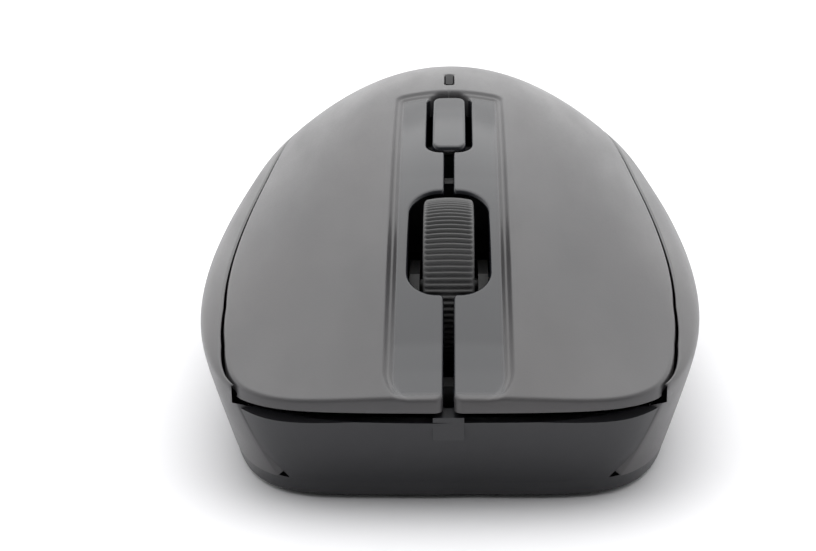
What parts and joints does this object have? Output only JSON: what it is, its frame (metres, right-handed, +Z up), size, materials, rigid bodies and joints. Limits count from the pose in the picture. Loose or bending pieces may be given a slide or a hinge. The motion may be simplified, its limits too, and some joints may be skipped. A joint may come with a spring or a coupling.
{
  "type": "computer mouse",
  "caption": "Small wireless desktop mouse with two long buttons, a ribbed scroll wheel in a sunken channel and ridged sides.",
  "frame": {"origin": "on the desk, under the middle of the mouse", "axes": "+Z up, +Y towards the palm end, so the buttons are at -Y; the user's left button is at +X"},
  "size_m": [0.0632, 0.1018, 0.0367],
  "materials": {
    "graphite_shell": "semi-gloss graphite moulding with a fine grain",
    "dark_case": "dark satin moulding",
    "black_frame": "black matte moulding",
    "wheel_rubber": "ribbed rubber",
    "hub_plastic": "black matte moulding",
    "white_plastic": "natural moulding",
    "switch_plastic": "black moulding",
    "board": "green glass-fibre board",
    "chip": "epoxy package",
    "clear_lens": "clear moulding",
    "window_lens": "smoked translucent moulding",
    "led_epoxy": "moulded epoxy",
    "can_metal": "drawn metal can",
    "contact_metal": "nickel-plated spring steel",
    "screw_steel": "plated steel",
    "cell_wrap": "printed wrap",
    "skate_ptfe": "slick low-friction pad",
    "ribbon": "flat ribbon cable"
  },
  "bodies": {
    "case": {"bottom_case": "dark_case", "palm_cover": "graphite_shell", "left_side_panel": "graphite_shell", "right_side_panel": "graphite_shell", "inner_frame": "black_frame", "ir_emitter": "led_epoxy", "ir_receiver": "chip", "main_board": "board", "board_screws": "screw_steel", "case_screws": "screw_steel", "left_switch": "switch_plastic", "right_switch": "switch_plastic", "middle_switch": "switch_plastic", "dpi_switch": "switch_plastic", "dpi_board": "board", "indicator_led": "led_epoxy", "indicator_lens": "window_lens", "sensor_chip": "chip", "sensor_lens": "clear_lens", "sensor_led": "led_epoxy", "mcu_chip": "chip", "crystal": "can_metal", "capacitor": "can_metal", "power_switch": "switch_plastic", "battery_1": "cell_wrap", "battery_2": "cell_wrap", "battery_springs": "contact_metal", "battery_contacts": "contact_metal", "front_skate": "skate_ptfe", "left_rear_skate": "skate_ptfe", "right_rear_skate": "skate_ptfe", "ribbon_cable": "ribbon"},
    "left_key": {"left_button": "graphite_shell"},
    "right_key": {"right_button": "graphite_shell"},
    "left_plunger": {"left_switch_plunger": "white_plastic"},
    "right_plunger": {"right_switch_plunger": "white_plastic"},
    "carrier": {"wheel_carrier": "black_frame", "detent_spring": "contact_metal"},
    "wheel": {"wheel_hub": "hub_plastic", "wheel_tyre": "wheel_rubber"},
    "middle_plunger": {"middle_switch_plunger": "white_plastic"},
    "dpi_key": {"dpi_button": "graphite_shell"},
    "dpi_plunger": {"dpi_switch_plunger": "white_plastic"},
    "power_knob": {"power_slider": "white_plastic"},
    "cover": {"battery_cover": "dark_case"}
  },
  "joints": [
    {"name": "left_button_press", "type": "hinge", "parent": "case", "child": "left_key", "pos_m": [0, 0.0072, 0.028], "axis": [1, 0, 0], "range_deg": [0, 0.55], "stiffness_Nm_per_rad": 1, "springref_deg": -0.86},
    {"name": "right_button_press", "type": "hinge", "parent": "case", "child": "right_key", "pos_m": [0, 0.0072, 0.028], "axis": [1, 0, 0], "range_deg": [0, 0.55], "stiffness_Nm_per_rad": 1, "springref_deg": -0.86},
    {"name": "left_switch_travel", "type": "slide", "parent": "case", "child": "left_plunger", "axis": [0, 0, -1], "range_m": [0, 0.000403]},
    {"name": "right_switch_travel", "type": "slide", "parent": "case", "child": "right_plunger", "axis": [0, 0, -1], "range_m": [0, 0.000403]},
    {"name": "wheel_press", "type": "hinge", "parent": "case", "child": "carrier", "pos_m": [0, -0.042, 0.0108], "axis": [-1, 0, 0], "range_deg": [0, 1], "stiffness_Nm_per_rad": 1, "springref_deg": -1.15},
    {"name": "wheel_spin", "type": "hinge", "parent": "carrier", "child": "wheel", "pos_m": [0, -0.0236, 0.0173], "axis": [1, 0, 0], "continuous": true},
    {"name": "middle_switch_travel", "type": "slide", "parent": "case", "child": "middle_plunger", "axis": [0, 0, -1], "range_m": [0, 0.000593]},
    {"name": "dpi_press", "type": "slide", "parent": "case", "child": "dpi_key", "axis": [0, 0, -1], "range_m": [0, 0.0004], "stiffness_N_per_m": 250, "springref_m": -0.001},
    {"name": "dpi_switch_travel", "type": "slide", "parent": "case", "child": "dpi_plunger", "axis": [0, 0, -1], "range_m": [0, 0.0004]},
    {"name": "power_slide", "type": "slide", "parent": "case", "child": "power_knob", "axis": [0, 1, 0], "range_m": [0, 0.0028]},
    {"name": "battery_cover_drop", "type": "slide", "parent": "case", "child": "cover", "axis": [0, 0, -1], "range_m": [0, 0.006], "stiffness_N_per_m": 60, "springref_m": -0.002}
  ],
  "couplings": [
    {"joint": "left_switch_travel", "follows": "left_button_press", "m_per_rad": 0.0412},
    {"joint": "right_switch_travel", "follows": "right_button_press", "m_per_rad": 0.0412},
    {"joint": "middle_switch_travel", "follows": "wheel_press", "m_per_rad": 0.0333},
    {"joint": "dpi_switch_travel", "follows": "dpi_press", "ratio": 1}
  ]
}
